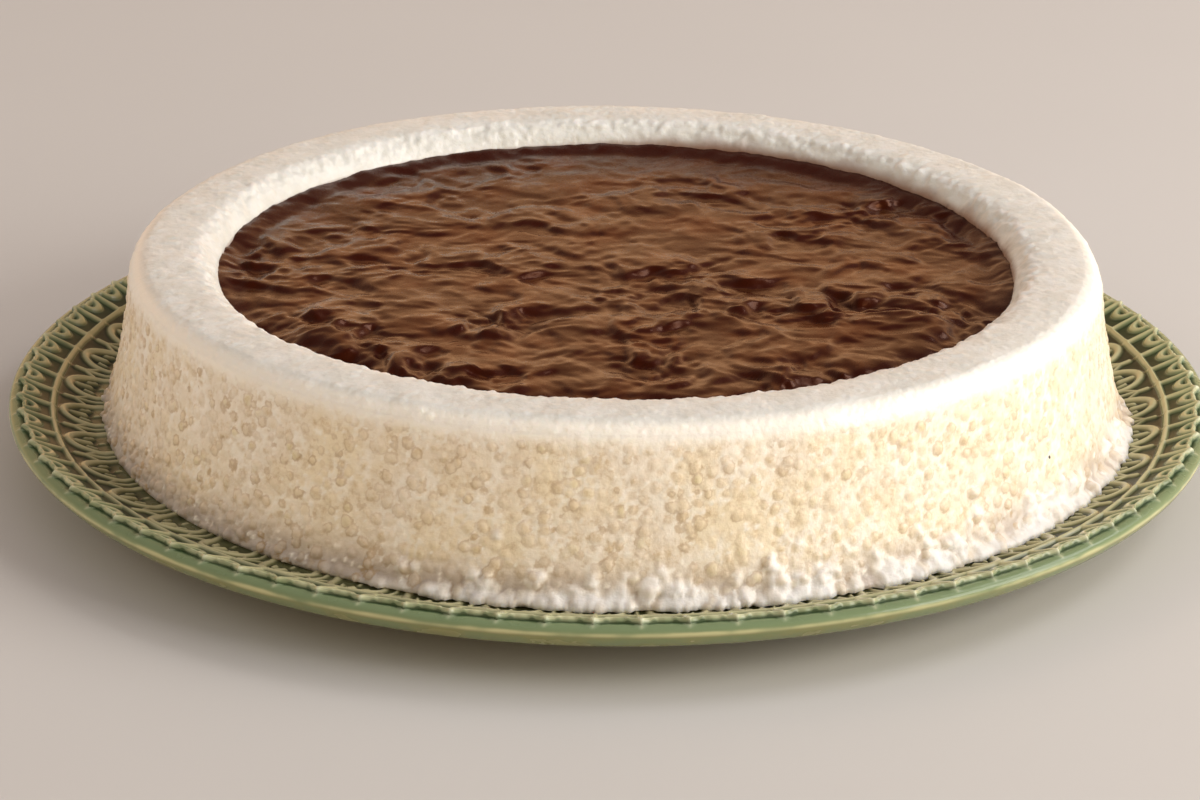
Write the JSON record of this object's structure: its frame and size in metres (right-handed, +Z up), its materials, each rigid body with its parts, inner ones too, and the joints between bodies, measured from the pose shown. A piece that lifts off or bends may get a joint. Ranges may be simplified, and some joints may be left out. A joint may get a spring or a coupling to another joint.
{
  "type": "coconut tapioca cake on plate",
  "caption": "Chilled coconut tapioca cake with a recessed top full of dark glossy spread, on a round glazed plate with a relief rim.",
  "frame": {"origin": "centre of the plate's foot ring, on the surface the plate stands on", "axes": "+Z up; -Y towards the viewer of the picture; +X to the viewer's right"},
  "size_m": [0.305, 0.305, 0.053],
  "materials": {
    "plate_glaze": "glossy green glaze, pooled darker in the relief",
    "tapioca": "moist, set coconut milk and tapioca granules",
    "dark_spread": "wet gloss, thick dark red-brown spread"
  },
  "bodies": {
    "root": {"plate": "plate_glaze", "cake": "tapioca", "filling": "dark_spread"}
  },
  "joints": []
}
